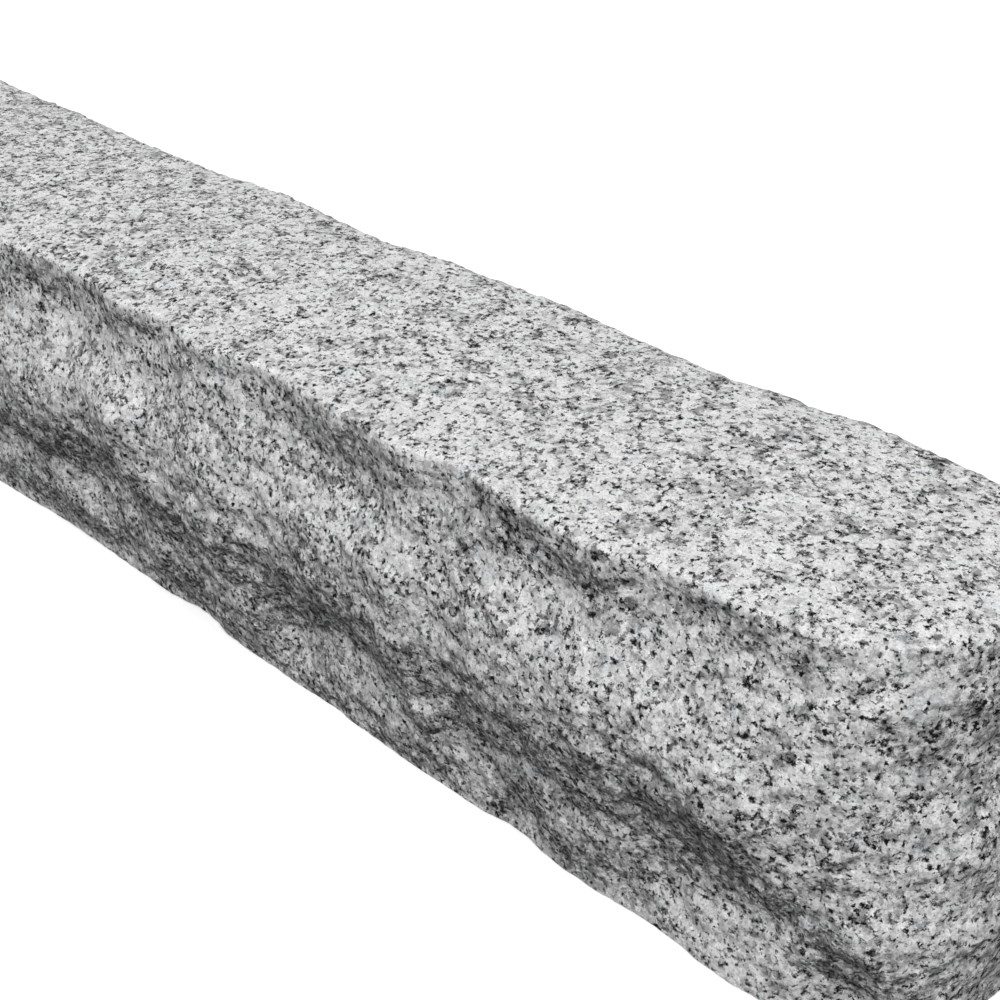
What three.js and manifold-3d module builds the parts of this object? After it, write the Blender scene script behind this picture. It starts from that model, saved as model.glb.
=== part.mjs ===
// Granite kerb stone, split on its head, both long faces and both ends, with a flat sawn bed.
// Millimetres, +Z up. X runs along the kerb, the show face looks along -Y,
// and the origin is the middle of the bed. The dressed near end is at +X.
import * as THREE from 'three';
import { mergeVertices } from 'three/addons/utils/BufferGeometryUtils.js';
import Module from 'manifold-3d';

const wasm = await Module();
wasm.setup();

// Stock size: length over the ends, width across the head between its arrises, and
// height up to the arrises, which the head's crown rises over.
const LENGTH = 1000;
const WIDTH = 150;
const HEIGHT = 200;

// Vertical corners, knocked off round in plan. The near show corner keeps a heel: from
// heelFrom to heelTo below the arris it narrows from its head radius to its foot radius.
const NEAR_SHOW_CORNER = { headRadius: 100, footRadius: 78, heelFrom: 90, heelTo: 160 };
const NEAR_BACK_CORNER_RADIUS = 24;
const FAR_CORNER_RADIUS = 14;

// The block is split a little deep, and the bed is sawn off flat.
const BED_ALLOWANCE = 6;

// Facets of the split skin along, across and up the block.
const FACETS_ALONG = 84;
const FACETS_ACROSS = 12;
const FACETS_UP = 19;

// Show face, as reach out of its plane: the belly stands proud, and the undercut below it
// runs back to a foot that has a low lip and is recessed a little towards the far end.
const BELLY = { drop: 88, halfHeight: 80, reach: 14 };
const UNDERCUT = { drop: 154, halfHeight: 46, depth: 2 };
const FOOT_START = 150;
const FOOT_LIP = { drop: 171, halfHeight: 30, reach: 3 };
const FOOT_REACH = [
  [0, 2], [85, 4], [150, 1], [260, -1], [400, -3], [620, -8], [720, -5], [LENGTH, -4],
];

// Wander of the show arris out of its plane, by distance from the near end.
const SHOW_ARRIS = [
  [0, 0], [60, -4], [135, -4], [165, 5], [200, 4], [262, -1], [285, 5], [325, 1], [392, -4],
  [440, 5], [476, 0], [515, 5], [535, -2], [570, -4], [630, 2], [730, -2], [860, 3], [LENGTH, 0],
];

// Wander of the back arris, which is cleaner.
const BACK_ARRIS = [
  [0, 0], [70, 0], [110, 5], [145, 6], [165, 0], [183, 2], [215, -2], [335, 4], [405, 0],
  [463, -4], [523, 0], [568, 2], [613, -2], [693, -4], [810, 0], [900, 3], [LENGTH, 0],
];

// Spalls and bosses of the show face: middle by distance from the near end and drop
// from the arris, half width and half height, and how far it stands out or in.
const SHOW_RELIEF = [
  // spalls struck off just under the arris
  { at: 335, drop: 38, halfWidth: 84, halfHeight: 34, reach: -9 },
  { at: 190, drop: 37, halfWidth: 60, halfHeight: 33, reach: -7 },
  { at: 505, drop: 36, halfWidth: 46, halfHeight: 30, reach: -5 },
  { at: 580, drop: 38, halfWidth: 48, halfHeight: 30, reach: -6 },
  { at: 95, drop: 28, halfWidth: 64, halfHeight: 27, reach: -4 },
  { at: 745, drop: 36, halfWidth: 70, halfHeight: 32, reach: -6 },
  { at: 885, drop: 34, halfWidth: 56, halfHeight: 30, reach: -5 },
  // bosses along the belly
  { at: 300, drop: 66, halfWidth: 46, halfHeight: 20, reach: 3 },
  { at: 520, drop: 66, halfWidth: 62, halfHeight: 28, reach: 4 },
  { at: 585, drop: 88, halfWidth: 38, halfHeight: 28, reach: 4 },
  { at: 108, drop: 88, halfWidth: 66, halfHeight: 40, reach: 5 },
  { at: 790, drop: 84, halfWidth: 60, halfHeight: 34, reach: 3 },
  // bosses high and low on the near corner, and a pit in the belly
  { at: 26, drop: 37, halfWidth: 50, halfHeight: 41, reach: 5 },
  { at: 10, drop: 143, halfWidth: 28, halfHeight: 28, reach: 7 },
  { at: 444, drop: 86, halfWidth: 16, halfHeight: 16, reach: -4 },
  // spalls under the belly
  { at: 132, drop: 174, halfWidth: 64, halfHeight: 52, reach: -4 },
  { at: 342, drop: 138, halfWidth: 38, halfHeight: 32, reach: -5 },
  { at: 395, drop: 165, halfWidth: 34, halfHeight: 30, reach: -5 },
  { at: 528, drop: 122, halfWidth: 50, halfHeight: 36, reach: -6 },
  { at: 590, drop: 138, halfWidth: 52, halfHeight: 26, reach: -4 },
  { at: 665, drop: 136, halfWidth: 48, halfHeight: 24, reach: -4 },
  { at: 760, drop: 140, halfWidth: 54, halfHeight: 32, reach: -4 },
  { at: 900, drop: 132, halfWidth: 60, halfHeight: 34, reach: -4 },
  // ledges left over the foot
  { at: 288, drop: 148, halfWidth: 30, halfHeight: 18, reach: 3 },
  { at: 525, drop: 162, halfWidth: 46, halfHeight: 18, reach: 3 },
  { at: 602, drop: 172, halfWidth: 32, halfHeight: 18, reach: 3 },
  // chips off the foot
  { at: 228, drop: 186, halfWidth: 28, halfHeight: 30, reach: -5 },
  { at: 490, drop: 200, halfWidth: 32, halfHeight: 34, reach: -5 },
  { at: 72, drop: 184, halfWidth: 46, halfHeight: 50, reach: -4 },
  { at: 34, drop: 192, halfWidth: 36, halfHeight: 44, reach: -14 },
];

// Near end: a ridge climbs across it from the show corner, from cornerDrop to backDrop below
// the arris over its climb. Between from and to below the arris the end flares out to its foot.
const END_RIDGE = { cornerDrop: 158, backDrop: 120, climb: 96, halfHeight: 50, reach: 4 };
const END_FLARE = { from: 104, to: 160, reach: 5 };

// Hollow and boss of the near end: as on the show face, but by distance from that face.
const END_RELIEF = [
  { at: 16, drop: 62, halfWidth: 62, halfHeight: 44, reach: -5 },
  { at: 28, drop: 106, halfWidth: 42, halfHeight: 30, reach: 7 },
];

// Back face: one even belly. Head: crowned along its middle, and nearly even.
const BACK_BELLY = { drop: 100, halfHeight: 100, reach: 2 };
const HEAD_CROWN = 4;
const HEAD_SWELL = 0.4;

// Long swells of the back, the ends and the head: wave length, height, phase and slant.
const SWELLS = [
  { length: 310, height: 1.4, phase: 0.4, slant: 0.6 },
  { length: 187, height: 0.9, phase: 2.1, slant: -0.9 },
  { length: 119, height: 0.5, phase: 4.0, slant: 1.1 },
];

// A rounded hump that is 1 at its middle and 0 from one half size away.
function hump(distance) {
  const inside = Math.max(0, 1 - distance * distance);
  return inside * inside;
}

// The value at a distance of a line eased through [distance, value] stations.
function stationed(stations, distance) {
  const next = stations.findIndex(([at]) => at >= distance);
  if (next < 0) return stations[stations.length - 1][1];
  if (next === 0) return stations[0][1];
  const [fromAt, fromValue] = stations[next - 1];
  const [toAt, toValue] = stations[next];
  const share = THREE.MathUtils.smoothstep(distance, fromAt, toAt);
  return THREE.MathUtils.lerp(fromValue, toValue, share);
}

function swell(along, across) {
  let reach = 0;
  for (const { length, height, phase, slant } of SWELLS) {
    reach += height * Math.sin((2 * Math.PI * (along + slant * across)) / length + phase);
  }
  return reach;
}

function relief(marks, at, drop) {
  let reach = 0;
  for (const mark of marks) {
    const aside = (at - mark.at) / mark.halfWidth;
    const below = (drop - mark.drop) / mark.halfHeight;
    reach += mark.reach * hump(Math.hypot(aside, below));
  }
  return reach;
}

function showFace(along, drop) {
  const belly = BELLY.reach * hump((drop - BELLY.drop) / BELLY.halfHeight);
  const undercut = UNDERCUT.depth * hump((drop - UNDERCUT.drop) / UNDERCUT.halfHeight);
  const foot = THREE.MathUtils.smoothstep(drop, FOOT_START, HEIGHT);
  const edge = THREE.MathUtils.lerp(stationed(SHOW_ARRIS, along), stationed(FOOT_REACH, along), foot);
  const lip = FOOT_LIP.reach * hump((drop - FOOT_LIP.drop) / FOOT_LIP.halfHeight);
  return edge + belly - undercut + lip + relief(SHOW_RELIEF, along, drop);
}

function backFace(along, drop) {
  const belly = BACK_BELLY.reach * hump((drop - BACK_BELLY.drop) / BACK_BELLY.halfHeight);
  const edge = stationed(BACK_ARRIS, along);
  return edge + belly + swell(along, drop) * THREE.MathUtils.smoothstep(drop, 0, BACK_BELLY.drop);
}

function nearEnd(across, drop) {
  const { cornerDrop, backDrop, climb, halfHeight, reach } = END_RIDGE;
  const crest = THREE.MathUtils.lerp(cornerDrop, backDrop, THREE.MathUtils.smoothstep(across, 0, climb));
  const ridge = reach * hump((drop - crest) / halfHeight);
  const flare = END_FLARE.reach * THREE.MathUtils.smoothstep(drop, END_FLARE.from, END_FLARE.to);
  return ridge + flare + relief(END_RELIEF, across, drop) + swell(across, drop);
}

function farEnd(across, drop) {
  return swell(across + LENGTH, drop);
}

function headDrop(along, across) {
  const fromMiddle = (2 * across) / WIDTH - 1;
  return HEAD_CROWN * (fromMiddle * fromMiddle - 1) + HEAD_SWELL * swell(along, across);
}

function nearShowRadius(drop) {
  const { headRadius, footRadius, heelFrom, heelTo } = NEAR_SHOW_CORNER;
  return THREE.MathUtils.lerp(headRadius, footRadius, THREE.MathUtils.smoothstep(drop, heelFrom, heelTo));
}

// Rounds one vertical corner in plan: a point in the corner's square goes into its quarter disc.
function roundCorner(point, signX, signY, radius) {
  const centreX = signX * (LENGTH / 2 - radius);
  const centreY = signY * (WIDTH / 2 - radius);
  const a = (signX * (point.x - centreX)) / radius;
  const b = (signY * (point.y - centreY)) / radius;
  if (a <= 0 || b <= 0) return;
  point.x = centreX + signX * radius * a * Math.sqrt(1 - (b * b) / 2);
  point.y = centreY + signY * radius * b * Math.sqrt(1 - (a * a) / 2);
}

// Moves a point of the plain block to its place on the split stone.
function dress(point) {
  const along = LENGTH / 2 - point.x;
  const across = point.y + WIDTH / 2;
  const drop = HEIGHT - point.z;
  const outX = THREE.MathUtils.lerp(nearEnd(across, drop), -farEnd(across, drop), along / LENGTH);
  const outY = THREE.MathUtils.lerp(-showFace(along, drop), backFace(along, drop), across / WIDTH);
  const down = headDrop(along, across) * (1 - drop / (HEIGHT + BED_ALLOWANCE));
  roundCorner(point, 1, -1, nearShowRadius(drop));
  roundCorner(point, 1, 1, NEAR_BACK_CORNER_RADIUS);
  roundCorner(point, -1, -1, FAR_CORNER_RADIUS);
  roundCorner(point, -1, 1, FAR_CORNER_RADIUS);
  return point.add(new THREE.Vector3(outX, outY, -down));
}

// A closed solid from a box geometry whose faces share their vertices.
function boxSolid(geometry, move) {
  geometry.deleteAttribute('normal');
  geometry.deleteAttribute('uv');
  const merged = mergeVertices(geometry);
  const position = merged.attributes.position;
  const point = new THREE.Vector3();
  for (let i = 0; i < position.count; i += 1) {
    move(point.fromBufferAttribute(position, i));
    position.setXYZ(i, point.x, point.y, point.z);
  }
  const vertProperties = new Float32Array(position.array);
  const triVerts = new Uint32Array(merged.index.array);
  return new wasm.Manifold(new wasm.Mesh({ numProp: 3, vertProperties, triVerts }));
}

function splitStone() {
  const depth = HEIGHT + BED_ALLOWANCE;
  const block = new THREE.BoxGeometry(LENGTH, WIDTH, depth, FACETS_ALONG, FACETS_ACROSS, FACETS_UP);
  block.translate(0, 0, depth / 2 - BED_ALLOWANCE);
  return boxSolid(block, dress);
}

function sawCut() {
  const slab = new THREE.BoxGeometry(2 * LENGTH, 4 * WIDTH, 4 * BED_ALLOWANCE);
  slab.translate(0, 0, -2 * BED_ALLOWANCE);
  return boxSolid(slab, (point) => point);
}

function kerbStone() {
  const { vertProperties, triVerts } = splitStone().subtract(sawCut()).getMesh();
  const geometry = new THREE.BufferGeometry();
  geometry.setAttribute('position', new THREE.BufferAttribute(vertProperties, 3));
  geometry.setIndex(new THREE.BufferAttribute(triVerts, 1));
  geometry.computeBoundingBox();
  const middle = geometry.boundingBox.getCenter(new THREE.Vector3());
  geometry.translate(-middle.x, -middle.y, 0);
  geometry.computeVertexNormals();
  const granite = new THREE.MeshStandardMaterial({ color: 0xb4b5b6, roughness: 0.85, metalness: 0 });
  const stone = new THREE.Mesh(geometry, granite);
  stone.name = 'kerb_stone';
  return stone;
}

const kerb = new THREE.Group();
kerb.add(kerbStone());

export default kerb;
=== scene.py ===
# %% [markdown]
# # A split granite kerb stone
#
# A kerb stone is one block of granite. Wedges split it from a larger block, so its faces
# are not cut but broken: they swell and dip, flakes have sprung off under the edges, and
# every crystal of the rock shows. Only the bed, which the stone stands on, is sawn flat.
#
# The construction gives the block, its bulges and its larger hollows. This lesson adds what
# the eye reads as stone: the minerals, the small broken relief and the worn edges.

# %% Load the construction
import math

import bmesh
import bpy
from mathutils import Matrix, Vector

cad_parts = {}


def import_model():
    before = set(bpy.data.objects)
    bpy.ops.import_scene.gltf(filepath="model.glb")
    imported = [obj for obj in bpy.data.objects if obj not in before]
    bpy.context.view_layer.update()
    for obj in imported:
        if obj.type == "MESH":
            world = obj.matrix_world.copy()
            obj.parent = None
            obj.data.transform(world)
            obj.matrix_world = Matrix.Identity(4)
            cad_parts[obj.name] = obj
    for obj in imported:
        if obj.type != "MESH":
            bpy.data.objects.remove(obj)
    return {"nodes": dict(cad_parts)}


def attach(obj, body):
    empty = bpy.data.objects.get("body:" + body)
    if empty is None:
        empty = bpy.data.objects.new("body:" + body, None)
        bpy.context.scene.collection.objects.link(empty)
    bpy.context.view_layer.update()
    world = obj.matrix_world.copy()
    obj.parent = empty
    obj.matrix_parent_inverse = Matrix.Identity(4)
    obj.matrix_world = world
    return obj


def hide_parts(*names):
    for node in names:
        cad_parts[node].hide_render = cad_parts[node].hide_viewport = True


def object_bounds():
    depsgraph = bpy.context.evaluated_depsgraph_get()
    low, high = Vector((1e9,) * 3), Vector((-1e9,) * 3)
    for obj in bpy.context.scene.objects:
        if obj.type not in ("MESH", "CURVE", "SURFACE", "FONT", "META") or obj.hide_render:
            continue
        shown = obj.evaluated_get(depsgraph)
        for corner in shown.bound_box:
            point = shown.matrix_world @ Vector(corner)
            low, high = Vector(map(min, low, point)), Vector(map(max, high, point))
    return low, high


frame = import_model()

MM = 0.001
cad_low, cad_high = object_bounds()
print("stone in millimetres:", [round(v / MM, 1) for v in cad_high - cad_low])

# %% [markdown]
# ## The camera
#
# A camera is easiest to aim with three turns, as a tripod has them: the pan about the
# upright, the tilt down, and a small roll. The lens is written for a 36 mm wide sensor.

# %% Place the camera
CAMERA_PLACE = (0.7249, -0.5029, 0.5967)
CAMERA_PAN = 46.05
CAMERA_TILT = 32.60
CAMERA_ROLL = -2.10
SENSOR_WIDTH = 36.0
LENS = 61.64
NEAREST_SEEN = 20 * MM


def turn(degrees, axis):
    return Matrix.Rotation(math.radians(degrees), 4, axis)


camera_data = bpy.data.cameras.new("camera")
camera_data.sensor_width = SENSOR_WIDTH
camera_data.lens = LENS
camera_data.clip_start = NEAREST_SEEN
camera = bpy.data.objects.new("camera", camera_data)
bpy.context.scene.collection.objects.link(camera)
aim = turn(CAMERA_PAN, "Z") @ turn(90 - CAMERA_TILT, "X") @ turn(CAMERA_ROLL, "Z")
camera.matrix_world = Matrix.Translation(CAMERA_PLACE) @ aim
bpy.context.scene.camera = camera
print("camera looks along", [round(v, 2) for v in aim @ Vector((0, 0, -1))])

# %% [markdown]
# ## A small kit for node trees
#
# Both the minerals and the relief are node trees. Written out link by link they would be
# long and hard to read. So one helper makes a node with its settings and inputs in one
# line, and an input that is given another node's output is linked to it. The others wrap
# the few nodes that both trees use again and again.

# %% Node helpers
NOISE_MIDDLE = (0.5, 0.5, 0.5)


def add(tree, kind, inputs=(), **settings):
    """Makes a node, sets its properties, then links or fills its inputs by name or number."""
    node = tree.nodes.new(kind)
    for name, value in settings.items():
        setattr(node, name, value)
    for name, value in dict(inputs).items():
        socket = node.inputs[name]
        if isinstance(value, bpy.types.NodeSocket):
            tree.links.new(value, socket)
        else:
            socket.default_value = value
    return node


def math_node(tree, operation, first, second):
    pair = {0: first, 1: second}
    return add(tree, "ShaderNodeMath", pair, operation=operation).outputs[0]


def vector_node(tree, operation, first, second, output="Vector"):
    pair = {0: first, 1: second}
    return add(tree, "ShaderNodeVectorMath", pair, operation=operation).outputs[output]


def scaled(tree, vector, factor):
    pair = {0: vector, "Scale": factor}
    return add(tree, "ShaderNodeVectorMath", pair, operation="SCALE").outputs[0]


def part_of(tree, vector, axis):
    """One coordinate of a vector."""
    return add(tree, "ShaderNodeSeparateXYZ", {0: vector}).outputs[axis]


def ramp(tree, value, low, high, to_low=0.0, to_high=1.0):
    """Eases value from its range low..high to to_low..to_high, and holds it there."""
    ends = {"Value": value, "From Min": low, "From Max": high, "To Min": to_low, "To Max": to_high}
    return add(tree, "ShaderNodeMapRange", ends, interpolation_type="SMOOTHSTEP").outputs[0]


def blend(tree, share, colour, other, how="MIX"):
    """Mixes a colour with another, or multiplies it by the other, as far as share says."""
    pair = {0: share, 6: colour, 7: other}
    return add(tree, "ShaderNodeMix", pair, data_type="RGBA", blend_type=how).outputs[2]


def over(tree, size):
    """One divided by a size, which may be a number or a socket."""
    if isinstance(size, bpy.types.NodeSocket):
        return math_node(tree, "DIVIDE", 1.0, size)
    return 1.0 / size


def noise(tree, place, size, detail, roughness, seed=None, output="Fac"):
    """A noise whose lumps are about one size across, in the units of place."""
    inputs = {"Vector": place, "Scale": over(tree, size), "Detail": detail, "Roughness": roughness}
    if seed is None:
        return add(tree, "ShaderNodeTexNoise", inputs).outputs[output]
    inputs["W"] = seed
    return add(tree, "ShaderNodeTexNoise", inputs, noise_dimensions="4D").outputs[output]


def cells(tree, place, size, feature="F1"):
    """A pattern of cells that are about one size across."""
    inputs = {"Vector": place, "Scale": over(tree, size), "Randomness": 1.0}
    return add(tree, "ShaderNodeTexVoronoi", inputs, feature=feature)


def random_of(tree, pattern, axis=0):
    """A random number from 0 to 1 that is the same all over one cell."""
    return part_of(tree, pattern.outputs["Color"], axis)


def warp(tree, place, size, reach, detail, roughness=0.65, seed=None):
    """Shakes a place about, so that what grows there gets ragged edges."""
    shift = noise(tree, place, size, detail, roughness, seed, "Color")
    shift = vector_node(tree, "SUBTRACT", shift, NOISE_MIDDLE)
    return vector_node(tree, "ADD", place, scaled(tree, shift, reach))


# %% [markdown]
# ## The pale grains
#
# Granite is a mosaic of three minerals. Feldspar makes the pale grains, quartz lies between
# them as grey glass, and black mica fills the last gaps. A bitmap of it would repeat, and
# blur from close by. So each mineral is a rule in a node group, which follows the order in
# which the rock grew. All its sizes are in millimetres.
#
# A warped cell pattern gives the grains, and each grain gets its own tone between quartz
# and feldspar. That alone would look like painted tiles. So clouds run through the grains,
# broad ones make some parts of the stone lighter than others, fine dust dulls the grains
# here and there, and a few patches are faintly cool.

# %% Grow the pale grains
# Patches: lump size, detail and roughness of a noise, the range of it that counts, and what
# that range is eased to.
CLOUDS = (4.0, 4.0, 0.62, 0.34, 0.66, -0.06, 0.54)
BROAD_CLOUDS = (42.0, 2.0, 0.55, 0.32, 0.68, -0.12, 0.12)
COOL_PATCHES = (15.0, 2.0, 0.6, 0.56, 0.70, 0.0, 1.0)
DUST = (1.0, 1.0, 0.6, 0.44, 0.66, 0.0, 0.34)

GRAIN_CONTRAST = 0.60
GREYED_IN_SWARM = (0.45, 0.70, 0.0, 0.14)
TONES = ((0.05, 0.34), (0.26, 0.58), (0.42, 0.76), (0.80, 0.86))
COOL_TINT = (0.955, 0.985, 1.0, 1)
DUST_TINT = (0.30, 0.30, 0.30, 1)


def patches(tree, place, size, detail, roughness, *ranges):
    return ramp(tree, noise(tree, place, size, detail, roughness), *ranges)


def grey(light):
    return (light, light, light, 1)


def pale_grains(tree, place, warped, swarm, given):
    """The colour of feldspar and quartz."""
    grains = cells(tree, warped, given["Grain size"])
    tone = math_node(tree, "MULTIPLY", random_of(tree, grains), GRAIN_CONTRAST)
    tone = math_node(tree, "ADD", tone, patches(tree, warped, *CLOUDS))
    tone = math_node(tree, "SUBTRACT", tone, ramp(tree, swarm, *GREYED_IN_SWARM))
    tone = math_node(tree, "ADD", tone, patches(tree, place, *BROAD_CLOUDS))
    tones = add(tree, "ShaderNodeValToRGB", {0: tone})
    stops = tones.color_ramp.elements
    while len(stops) < len(TONES):
        stops.new(1.0)
    for stop, (position, light) in zip(stops, TONES):
        stop.position = position
        stop.color = grey(light)
    cool, dust = patches(tree, place, *COOL_PATCHES), patches(tree, place, *DUST)
    pale = blend(tree, cool, tones.outputs[0], COOL_TINT, "MULTIPLY")
    return blend(tree, dust, pale, DUST_TINT, "MULTIPLY")


print("pale grains: greys from", TONES[0][1], "to", TONES[-1][1])

# %% [markdown]
# ## The black mica
#
# Mica comes last, so its flakes line the edges of the pale grains and gather in swarms. One
# pattern can't do both. So the mask is the highest of three: parts of the joints between
# the grains, specks that a noise raises where a swarm is thick, and single flakes, which
# are small cells chosen by chance. Flakes with clean edges and one even black would look
# printed, so fine noises tear their edges and thin them here and there.

# %% Grow the mica
JOINT_PATCHES = (2.6, 2.0, 0.6, 0.48, 0.72, 0.0, 0.18)
TORN_PATCHES = (1.1, 2.0, 0.7, 0.30, 0.70, 0.24, -0.24)
THIN_PATCHES = (2.4, 1.0, 0.5, 0.36, 0.58, 0.62, 1.0)
SEAM_EDGE = (-0.07, 0.07, 0.85, 0.0)
SPECK_DETAIL = (3.0, 0.65)
SPECK_BAR = (0.32, 0.68, 0.66, 0.47)
SPECK_EDGE = (-0.05, 0.11)
FLAKE_WARP = (1.4, 2.6, 3.0)
FLAKE_SHARE = 1.3
FLAKE_CHANCE = (0.30, 0.70, 0.05, 0.22)
FLAKE_EDGE = (0.22, 0.72, 1.0, 0.0)
MICA_EDGE = (0.20, 0.88)


def mica_mask(tree, place, warped, swarm, given):
    """1 on mica and 0 on the pale grains, with more specks and flakes in a swarm."""
    joints = cells(tree, warped, given["Grain size"], "DISTANCE_TO_EDGE").outputs["Distance"]
    width = patches(tree, place, *JOINT_PATCHES)
    seams = ramp(tree, math_node(tree, "SUBTRACT", joints, width), *SEAM_EDGE)

    speck = noise(tree, warped, given["Mica size"], *SPECK_DETAIL)
    bar = ramp(tree, swarm, *SPECK_BAR)
    specks = ramp(tree, math_node(tree, "SUBTRACT", speck, bar), *SPECK_EDGE)

    torn = warp(tree, warped, *FLAKE_WARP)
    scattered = cells(tree, torn, math_node(tree, "MULTIPLY", given["Mica size"], FLAKE_SHARE))
    chance = ramp(tree, swarm, *FLAKE_CHANCE)
    chosen = math_node(tree, "LESS_THAN", random_of(tree, scattered, 1), chance)
    body = ramp(tree, scattered.outputs["Distance"], *FLAKE_EDGE)
    flakes = math_node(tree, "MULTIPLY", chosen, body)

    mica = math_node(tree, "MAXIMUM", seams, flakes)
    mica = math_node(tree, "MAXIMUM", mica, specks)
    mica = math_node(tree, "ADD", mica, patches(tree, place, *TORN_PATCHES))
    mica = ramp(tree, mica, *MICA_EDGE)
    return math_node(tree, "MULTIPLY", mica, patches(tree, place, *THIN_PATCHES))


print("share of cells with a flake:", FLAKE_CHANCE[2], "or in a swarm", FLAKE_CHANCE[3])

# %% [markdown]
# ## The broken crystals, and the whole group
#
# Where granite breaks, each crystal breaks along a plane of its own. A cell pattern in
# which every cell leans its own way gives just such heights, which a plain noise can't.
# Between the crystals lie small pits and specks, and the group gives them as a mask for painted
# shade.
#
# The group puts out only a colour, a height, a mica mask and a mask for painted shade, so that a
# split and a sawn face can share it and each decide what to do with them.

# %% Build the mineral group
GRAIN_SIZE = 5.8
GRAIN_WARP = (2.0, 4.5, 3.0)
MICA_SIZE = 2.6
MICA_BLACK = (0.010, 0.010, 0.011, 1)
SWARM_NOISE = (12.0, 2.0, 0.6)
CRYSTAL_WARP = (1.6, 1.2, 2.0)
CRYSTAL_SIZES = (3.4, 1.8)
SHADED_PITS = (3.0, 3.0, 0.7, 0.50, 0.60, 0.0, 1.0)
SHADED_SPECKS = (1.2, 1.0, 0.6, 0.46, 0.66, 0.0, 0.85)


def facets(tree, place, size):
    """Heights of crystals that each broke along a plane of their own."""
    crystals = cells(tree, place, size)
    lean = vector_node(tree, "SUBTRACT", crystals.outputs["Color"], NOISE_MIDDLE)
    arm = vector_node(tree, "SUBTRACT", place, crystals.outputs["Position"])
    return vector_node(tree, "DOT_PRODUCT", arm, lean, "Value")


def mineral_group():
    tree = bpy.data.node_groups.new("granite_minerals", "ShaderNodeTree")
    tree.interface.new_socket("Place", in_out="INPUT", socket_type="NodeSocketVector")
    for name, value in (("Grain size", GRAIN_SIZE), ("Mica size", MICA_SIZE)):
        socket = tree.interface.new_socket(name, in_out="INPUT", socket_type="NodeSocketFloat")
        socket.default_value = value
    tree.interface.new_socket("Colour", in_out="OUTPUT", socket_type="NodeSocketColor")
    for name in ("Mica", "Relief", "Crevice shade"):
        tree.interface.new_socket(name, in_out="OUTPUT", socket_type="NodeSocketFloat")
    given = tree.nodes.new("NodeGroupInput").outputs
    place = given["Place"]

    warped = warp(tree, place, *GRAIN_WARP)
    swarm = noise(tree, place, *SWARM_NOISE)
    pale = pale_grains(tree, place, warped, swarm, given)
    mica = mica_mask(tree, place, warped, swarm, given)

    jagged = warp(tree, place, *CRYSTAL_WARP)
    relief = math_node(tree, "ADD", *(facets(tree, jagged, size) for size in CRYSTAL_SIZES))
    # small pits and specks between the crystals: the mask that gets painted shade
    shaded_pits, shaded_specks = patches(tree, jagged, *SHADED_PITS), patches(tree, place, *SHADED_SPECKS)
    add(tree, "NodeGroupOutput", {
        "Colour": blend(tree, mica, pale, MICA_BLACK),
        "Mica": mica,
        "Relief": relief,
        "Crevice shade": math_node(tree, "MAXIMUM", shaded_pits, shaded_specks),
    })
    return tree


minerals = mineral_group()
print("granite_minerals:", len(minerals.nodes), "nodes")

# %% [markdown]
# ## Split and sawn faces
#
# Both faces show the same minerals. A split face is rough down to the single crystal, which
# is finer than a mesh can follow, so a bump does it. Where the face hangs over, the break
# tore the crystals out. There the bump stands twice as high, and painted shade darkens the
# pits and specks, because a bump alone throws no shadow. A saw leaves the face almost smooth.
#
# Broken stone has hardly any shine, so the specular level is next to nothing, and only the
# mica is a little glossier than the rest. All noises meet in a faint seam where a coordinate
# is zero. The stone stands right there, so its minerals are taken from another place in the
# rock.

# %% Make the two finishes
QUARRY_PLACE = (731.0, 289.0, 157.0)
STONE_IOR = 1.5
SHINE = 0.01
MICA_ROUGHNESS_SHARE = 0.65
HANGING_FACE = (-0.35, 0.10, 1.0, 0.0)
CREVICE_SHADE_TONE = (0.014, 0.014, 0.015, 1)
CREVICE_SHADE_SHARE = 0.75
SPLIT_ROUGHNESS, SPLIT_BUMP = 0.85, 0.4
SAWN_ROUGHNESS, SAWN_BUMP = 0.6, 0.15


def granite(name, roughness, bump):
    """A granite face. The bump is in millimetres for a crystal height of one."""
    material = bpy.data.materials.new(name)
    material.use_nodes = True
    tree = material.node_tree
    surface = tree.nodes["Principled BSDF"]
    surface.inputs["IOR"].default_value = STONE_IOR
    surface.inputs["Specular IOR Level"].default_value = SHINE

    place = scaled(tree, add(tree, "ShaderNodeTexCoord").outputs["Object"], 1 / MM)
    place = vector_node(tree, "ADD", place, QUARRY_PLACE)
    stone = add(tree, "ShaderNodeGroup", node_tree=minerals)
    tree.links.new(place, stone.inputs["Place"])
    upright = part_of(tree, add(tree, "ShaderNodeNewGeometry").outputs["Normal"], "Z")
    hanging = ramp(tree, upright, *HANGING_FACE)

    # painted shade: where the face hangs over, the pits and specks are darkened almost to black
    share = math_node(tree, "MULTIPLY", hanging, CREVICE_SHADE_SHARE)
    share = math_node(tree, "MULTIPLY", stone.outputs["Crevice shade"], share)
    colour = blend(tree, share, stone.outputs["Colour"], CREVICE_SHADE_TONE)
    tree.links.new(colour, surface.inputs["Base Color"])

    glossier = roughness * MICA_ROUGHNESS_SHARE
    rough = ramp(tree, stone.outputs["Mica"], 0.0, 1.0, roughness, glossier)
    tree.links.new(rough, surface.inputs["Roughness"])

    coarse = math_node(tree, "ADD", hanging, 1.0)
    height = math_node(tree, "MULTIPLY", stone.outputs["Relief"], coarse)
    ridges = {"Strength": 1.0, "Distance": bump * MM, "Height": height}
    tree.links.new(add(tree, "ShaderNodeBump", ridges).outputs[0], surface.inputs["Normal"])
    return material


split_granite = granite("granite_split", SPLIT_ROUGHNESS, SPLIT_BUMP)
sawn_granite = granite("granite_sawn", SAWN_ROUGHNESS, SAWN_BUMP)
print("finishes:", split_granite.name, sawn_granite.name)

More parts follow.
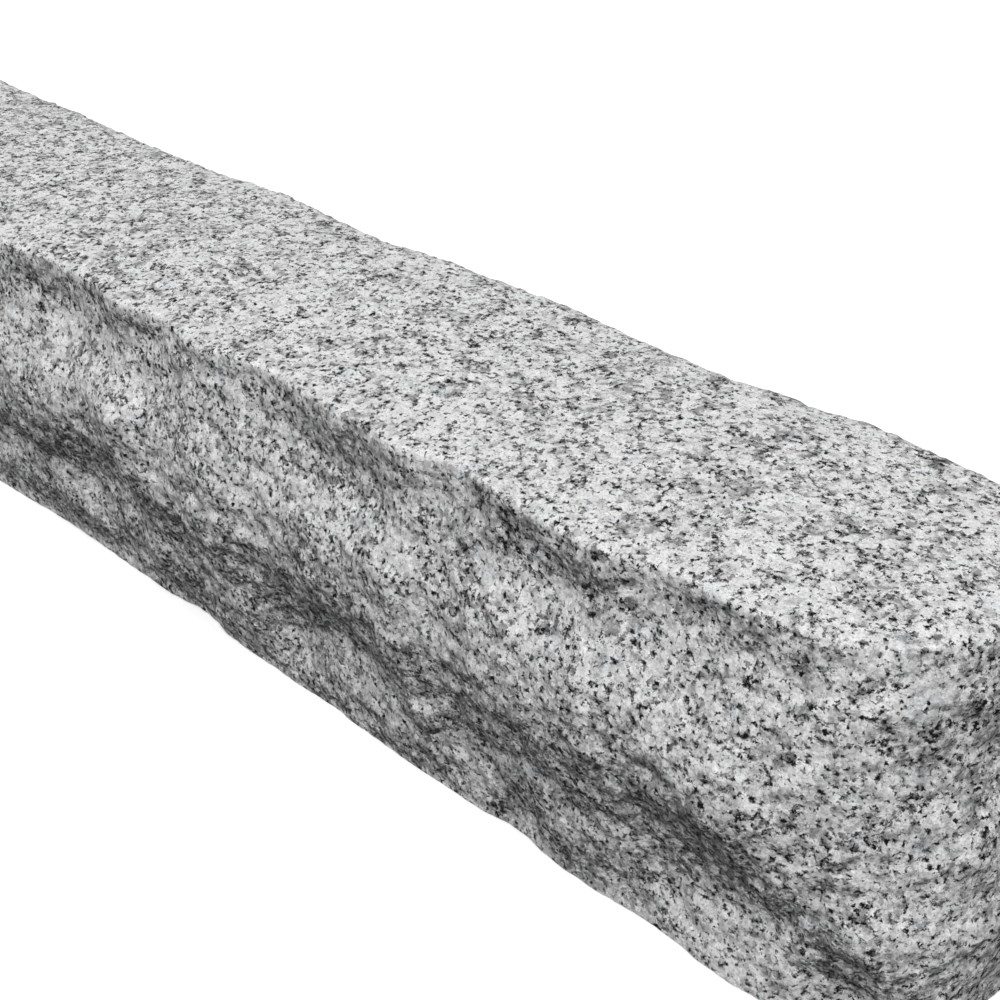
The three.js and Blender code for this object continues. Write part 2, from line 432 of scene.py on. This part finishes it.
# %% [markdown]
# ## A clean copy of the block
#
# The construction arrives as loose triangles. Subdivision needs joined faces, and it
# gives a smoother skin from quads than from triangles. So the copy's doubled corners are
# merged, the slanting edges that the saw cut through are dissolved, and each pair of
# triangles that came from one square is joined again. The bed is taken off for now. As one
# polygon with hundreds of corners it would hold up the subdivision, and it is put back
# when the skin is done.

# %% Copy, merge and join into quads
MERGE_DISTANCE = 0.002 * MM
JOIN_ANGLE = math.radians(50)
BED_SLOPE = -0.999
BED_HEIGHT = 0.01 * MM
SLANT = 0.6


def slants(edge):
    """True for an edge that leaves the bed at a slant."""
    low, high = sorted((vert.co for vert in edge.verts), key=lambda point: point.z)
    run = high.xy - low.xy
    return low.z < BED_HEIGHT < high.z and run.length > SLANT * (high.z - low.z)


def clean_copy(node):
    """The node's mesh as joined quads, open where its bed was."""
    mesh = bmesh.new()
    mesh.from_mesh(frame["nodes"][node].data)
    bmesh.ops.remove_doubles(mesh, verts=mesh.verts, dist=MERGE_DISTANCE)
    bed = [face for face in mesh.faces if face.normal.z < BED_SLOPE]
    bmesh.ops.delete(mesh, geom=bed, context="FACES")
    slanting = [edge for edge in mesh.edges if slants(edge)]
    bmesh.ops.dissolve_edges(mesh, edges=slanting, use_verts=True)
    skin = [face for face in mesh.faces if len(face.verts) == 3]
    bmesh.ops.join_triangles(
        mesh, faces=skin, angle_face_threshold=JOIN_ANGLE, angle_shape_threshold=JOIN_ANGLE
    )
    data = bpy.data.meshes.new("kerb_block")
    mesh.to_mesh(data)
    mesh.free()
    return data


block = bpy.data.objects.new("kerb_block", clean_copy("kerb_stone"))
bpy.context.scene.collection.objects.link(block)
quads = sum(len(face.vertices) == 4 for face in block.data.polygons)
print("block:", len(block.data.polygons), "faces, of which", quads, "quads")

# %% [markdown]
# ## The layers of the broken skin
#
# Sculpting a metre of stone by hand would take days, and it would be gone with the next
# change of size. Geometry Nodes can break the skin by rule instead, in three layers that
# move each point along its normal. Ledges are where the break jumped from one level to the
# next. Scars are the shallow bowls that flakes leave, so their rims stand up. Rubble is the
# crumbled rest. A fourth rule bites chips out of the sharp edges, the arrises.

# %% Shape the layers
LEDGE_DETAIL = (2.0, 0.5)
LEDGE_STEP = (0.34, 0.66)
SCAR_WARP = (9 * MM, 10 * MM, 2.0, 0.5)
SCAR_RIM = 0.75
RUBBLE_DETAIL = (3.0, 0.6)
RUBBLE_RANGE = (0.28, 0.72)
BITE_DETAIL = (2.0, 0.6)
BITE_RANGE = (0.40, 0.66)
BITE_FADE = (0.2, 1.0)


def ledges(tree, place, given):
    """Levels with steep steps between them, from -1 to 1."""
    waves = noise(tree, place, given["Ledge size"], *LEDGE_DETAIL, given["Seed"])
    return ramp(tree, waves, *LEDGE_STEP, -1.0, 1.0)


def scars(tree, place, given):
    """Shallow bowls with sharp rims: 0 at a rim, -1 in the middle of a deep one."""
    warped = warp(tree, place, *SCAR_WARP, given["Seed"])
    bowls = cells(tree, warped, given["Scar size"])
    bowl = ramp(tree, bowls.outputs["Distance"], 0.0, SCAR_RIM, -1.0, 0.0)
    return math_node(tree, "MULTIPLY", bowl, random_of(tree, bowls))


def rubble(tree, place, given):
    """Crumbled stone, from about -1 to 1."""
    lumps = noise(tree, place, given["Rubble size"], *RUBBLE_DETAIL, given["Seed"])
    return ramp(tree, lumps, *RUBBLE_RANGE, -1.0, 1.0)


def bites(tree, place, near, given):
    """Chips broken out of the arris, from 0 to -1."""
    reach = math_node(tree, "DIVIDE", near, given["Arris reach"])
    edge = ramp(tree, reach, *BITE_FADE, 1.0, 0.0)
    chips = noise(tree, place, given["Bite size"], *BITE_DETAIL, given["Seed"])
    return math_node(tree, "MULTIPLY", edge, ramp(tree, chips, *BITE_RANGE, 0.0, -1.0))


LAYERS = ((ledges, "Ledge depth"), (scars, "Scar depth"), (rubble, "Rubble depth"))
print("layers of relief:", ", ".join(layer.__name__ for layer, depth in LAYERS))

# %% [markdown]
# ## The relief tree
#
# The tree first rounds the block's facets by subdivision. It creases the edges firmly in
# some places and loosely in others, as a broken edge is. Then it adds up the layers.
#
# A stone isn't equally rough all over. The head, which people walk past and step on, gets
# only a share of the relief, and the faces that hang over get more than the rest. Near an
# arris or the bed the relief calms down, so that the outline stays clean but for the bites.
# At last nothing may stand outside the block's own box.

# %% Build the relief tree
SKIN_LEVELS = 2
ARRIS_ANGLE = math.radians(42)
FIRM_NOISE = (45 * MM, 1.0, 0.5)
FIRM_CREASE = (0.40, 0.62, 0.45, 0.72)
HEAD_SLOPE = (0.6, 0.95)
HANGING_SLOPE = (-0.30, 0.05)
BED_REACH = 5 * MM
SIZES = ("Ledge size", "Ledge depth", "Scar size", "Scar depth", "Rubble size", "Rubble depth",
         "Bite size", "Bite depth", "Arris reach", "Rim reach", "Rim share",
         "Head share", "Hanging share", "Stretch", "Seed")
CORNERS = ("Low corner", "High corner")


def inputs_of(tree):
    """Gives the tree its named inputs and returns their sockets."""
    tree.interface.new_socket("Geometry", in_out="INPUT", socket_type="NodeSocketGeometry")
    for names, kind in ((SIZES, "NodeSocketFloat"), (CORNERS, "NodeSocketVector")):
        for name in names:
            tree.interface.new_socket(name, in_out="INPUT", socket_type=kind)
    return tree.nodes.new("NodeGroupInput").outputs


def to_arris(tree, block):
    """How far a point is from the nearest sharp edge of the block."""
    angle = add(tree, "GeometryNodeInputMeshEdgeAngle").outputs["Unsigned Angle"]
    blunt = math_node(tree, "LESS_THAN", angle, ARRIS_ANGLE)
    parts = {"Geometry": block, "Selection": blunt}
    arrises = add(tree, "GeometryNodeDeleteGeometry", parts, domain="EDGE", mode="ALL").outputs[0]
    near = add(tree, "GeometryNodeProximity", {0: arrises}, target_element="EDGES")
    return near.outputs["Distance"]


def rounded(tree, block, place, given):
    """The block with its facets rounded and its edges creased more here than there."""
    size, detail, roughness = FIRM_NOISE
    firm = noise(tree, place, size, detail, roughness, given["Seed"])
    crease = ramp(tree, firm, *FIRM_CREASE)
    smooth = {"Mesh": block, "Level": SKIN_LEVELS, "Edge Crease": crease}
    return add(tree, "GeometryNodeSubdivisionSurface", smooth).outputs[0]


def calmed(tree, relief, upright, height, near, given):
    """The relief, as much of it as this place of the stone has."""
    head = ramp(tree, upright, *HEAD_SLOPE)
    hanging = ramp(tree, upright, *HANGING_SLOPE, given["Hanging share"], 1.0)
    lie = {0: head, 2: hanging, 3: given["Head share"]}
    relief = math_node(tree, "MULTIPLY", relief, add(tree, "ShaderNodeMix", lie).outputs[0])
    rim = math_node(tree, "MINIMUM", near, height)
    rim = math_node(tree, "DIVIDE", rim, given["Rim reach"])
    return math_node(tree, "MULTIPLY", relief, ramp(tree, rim, 0.0, 1.0, given["Rim share"], 1.0))


def relief_tree(split):
    """The tree that smooths a block, breaks its skin and gives it the split finish."""
    tree = bpy.data.node_groups.new("split_skin", "GeometryNodeTree")
    given = inputs_of(tree)
    tree.interface.new_socket("Geometry", in_out="OUTPUT", socket_type="NodeSocketGeometry")
    place = add(tree, "GeometryNodeInputPosition").outputs[0]
    normal = add(tree, "GeometryNodeInputNormal").outputs[0]
    upright, height = part_of(tree, normal, "Z"), part_of(tree, place, "Z")
    near = to_arris(tree, given["Geometry"])
    skin = rounded(tree, given["Geometry"], place, given)

    # the layers, long ways drawn out along the stone
    draw = add(tree, "ShaderNodeCombineXYZ", {0: given["Stretch"], 1: 1.0, 2: 1.0}).outputs[0]
    drawn = vector_node(tree, "DIVIDE", place, draw)
    relief = 0.0
    for layer, depth in LAYERS:
        step = math_node(tree, "MULTIPLY", layer(tree, drawn, given), given[depth])
        relief = math_node(tree, "ADD", relief, step)
    relief = calmed(tree, relief, upright, height, near, given)
    bitten = math_node(tree, "MULTIPLY", bites(tree, place, near, given), given["Bite depth"])
    relief = math_node(tree, "ADD", relief, bitten)

    # near the bed the points only move level, so that the stone still stands flat
    free = ramp(tree, height, 0.0, BED_REACH)
    loose = add(tree, "ShaderNodeCombineXYZ", {0: 1.0, 1: 1.0, 2: free}).outputs[0]
    step = vector_node(tree, "MULTIPLY", scaled(tree, normal, relief), loose)
    moved = vector_node(tree, "ADD", place, step)
    moved = vector_node(tree, "MAXIMUM", moved, given["Low corner"])
    moved = vector_node(tree, "MINIMUM", moved, given["High corner"])
    whole = add(tree, "GeometryNodeSetPosition", {"Geometry": skin, "Position": moved}).outputs[0]
    whole = add(tree, "GeometryNodeSetShadeSmooth", {0: whole}).outputs[0]
    whole = add(tree, "GeometryNodeRealizeInstances", {0: whole}).outputs[0]
    whole = add(tree, "GeometryNodeSetMaterial", {0: whole, "Material": split}).outputs[0]
    add(tree, "NodeGroupOutput", {0: whole})
    return tree


split_skin = relief_tree(split_granite)
print("split_skin:", len(split_skin.nodes), "nodes and", len(SIZES), "sizes")

# %% [markdown]
# ## Breaking the stone
#
# The tree's inputs are set on the modifier by each socket's identifier, which stays the
# same when a socket is renamed. The result is turned into a plain mesh, because the
# finished piece must not depend on a live modifier. Then the sawn bed closes it from below,
# as one flat polygon with a sharp rim.

# %% Break the skin and close the bed
SKIN = {
    "Ledge size": 46 * MM, "Ledge depth": 1.1 * MM,
    "Scar size": 17 * MM, "Scar depth": 1.6 * MM,
    "Rubble size": 9 * MM, "Rubble depth": 1.1 * MM,
    "Bite size": 7 * MM, "Bite depth": 0.9 * MM, "Arris reach": 6 * MM,
    "Rim reach": 14 * MM, "Rim share": 0.35,
    "Head share": 0.35, "Hanging share": 1.2, "Stretch": 1.15, "Seed": 3.0,
    "Low corner": cad_low, "High corner": cad_high,
}


def break_skin(stone, name):
    """Breaks the stone's skin with the tree and returns the result as a plain piece."""
    modifier = stone.modifiers.new("split_skin", "NODES")
    modifier.node_group = split_skin
    for socket in split_skin.interface.items_tree:
        if socket.in_out == "INPUT" and socket.name in SKIN:
            modifier[socket.identifier] = SKIN[socket.name]
    stone.update_tag()
    ready = stone.evaluated_get(bpy.context.evaluated_depsgraph_get())
    piece = bpy.data.objects.new(name, bpy.data.meshes.new_from_object(ready))
    bpy.context.scene.collection.objects.link(piece)
    bpy.data.objects.remove(stone)
    return piece


def close_bed(piece, material):
    """Fills the open underside with one sawn face and returns how many corners it has."""
    mesh = bmesh.new()
    mesh.from_mesh(piece.data)
    rim = [edge for edge in mesh.edges if edge.is_boundary]
    for edge in rim:
        edge.smooth = False
    bed = bmesh.ops.edgeloop_fill(mesh, edges=rim, mat_nr=1, use_smooth=False)["faces"][0]
    bed.normal_update()
    if bed.normal.z > 0:
        bed.normal_flip()
    mesh.to_mesh(piece.data)
    mesh.free()
    piece.data.materials.append(material)
    return len(rim)


kerb = break_skin(block, "granite_kerb")
bed_corners = close_bed(kerb, sawn_granite)
triangles = sum(len(face.vertices) - 2 for face in kerb.data.polygons)
print("granite_kerb:", len(kerb.data.vertices), "points,", triangles, "triangles")
print("its bed has", bed_corners, "corners")

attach(kerb, "root")
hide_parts("kerb_stone")

# %% [markdown]
# ## The floor
#
# The stone stands on a pale studio floor, which keeps its soft shadow. A floor this white
# would throw so much light back up that the hollows under the belly filled with it. So it
# is white only to rays that look at it, and dark grey to those that carry its light on. The
# small glow brings it to a full white without a brighter lamp.

# %% Lay the floor
FLOOR_SIZE = 14.0
FLOOR_GAP = 0.5 * MM
FLOOR_SEEN = 1.0
FLOOR_BOUNCE = 0.04
FLOOR_GLOW = 0.09


def looks_at(tree):
    """1 for a ray that shows the backdrop itself, 0 for one that carries its light."""
    rays = add(tree, "ShaderNodeLightPath").outputs
    seen = math_node(tree, "MAXIMUM", rays["Is Camera Ray"], rays["Is Glossy Ray"])
    return math_node(tree, "MAXIMUM", seen, rays["Is Transmission Ray"])


def floor_material():
    material = bpy.data.materials.new("studio_floor")
    material.use_nodes = True
    tree = material.node_tree
    surface = tree.nodes["Principled BSDF"]
    surface.inputs["Roughness"].default_value = 1.0
    surface.inputs["Specular IOR Level"].default_value = 0.0
    surface.inputs["Emission Color"].default_value = grey(1.0)
    seen = looks_at(tree)
    colour = blend(tree, seen, grey(FLOOR_BOUNCE), grey(FLOOR_SEEN))
    tree.links.new(colour, surface.inputs["Base Color"])
    glow = math_node(tree, "MULTIPLY", seen, FLOOR_GLOW)
    tree.links.new(glow, surface.inputs["Emission Strength"])
    return material


def floor():
    mesh = bmesh.new()
    bmesh.ops.create_grid(mesh, x_segments=1, y_segments=1, size=FLOOR_SIZE / 2)
    data = bpy.data.meshes.new("studio_floor")
    mesh.to_mesh(data)
    mesh.free()
    plane = bpy.data.objects.new("studio_floor", data)
    plane.location.z = cad_low.z - FLOOR_GAP
    plane.data.materials.append(floor_material())
    bpy.context.scene.collection.objects.link(plane)


floor()
print("floor:", FLOOR_SIZE, "m square,", round(FLOOR_GAP / MM, 1), "mm under the stone")

# %% [markdown]
# ## The light
#
# Stone shows its relief best under one large lamp from above and a little in front. The key
# is a soft sun, which lights the whole length evenly, as a lamp close by would not. A second
# sun stands just above the floor behind the stone. It lights the back and the far end, and
# passes over the floor with hardly any effect. The world adds a weak even fill to the
# shadows, and looks white itself.

# %% Set the lamps and the world
SOFTNESS = math.radians(45)
KEY = {"strength": 3.08, "height": 57, "turned": 33}
BACK = {"strength": 1.4, "height": 2, "turned": 212}
FILL = 0.195
BACKDROP = 1.0


def lamp(name, strength, height, turned):
    """A soft sun: degrees above the level, and degrees turned from the show face."""
    data = bpy.data.lights.new(name, "SUN")
    data.energy = strength
    data.angle = SOFTNESS
    light = bpy.data.objects.new(name, data)
    light.rotation_euler = (math.radians(90 - height), 0, math.radians(turned))
    bpy.context.scene.collection.objects.link(light)


def world():
    sky = bpy.data.worlds.new("studio")
    sky.use_nodes = True
    tree = sky.node_tree
    background = tree.nodes["Background"]
    background.inputs["Color"].default_value = grey(1.0)
    strength = add(tree, "ShaderNodeMix", {0: looks_at(tree), 2: FILL, 3: BACKDROP}).outputs[0]
    tree.links.new(strength, background.inputs["Strength"])
    bpy.context.scene.world = sky


lamp("key", **KEY)
lamp("back", **BACK)
world()
bpy.context.scene.view_settings.view_transform = "Standard"
print("key", KEY["strength"], "back", BACK["strength"], "fill", FILL)
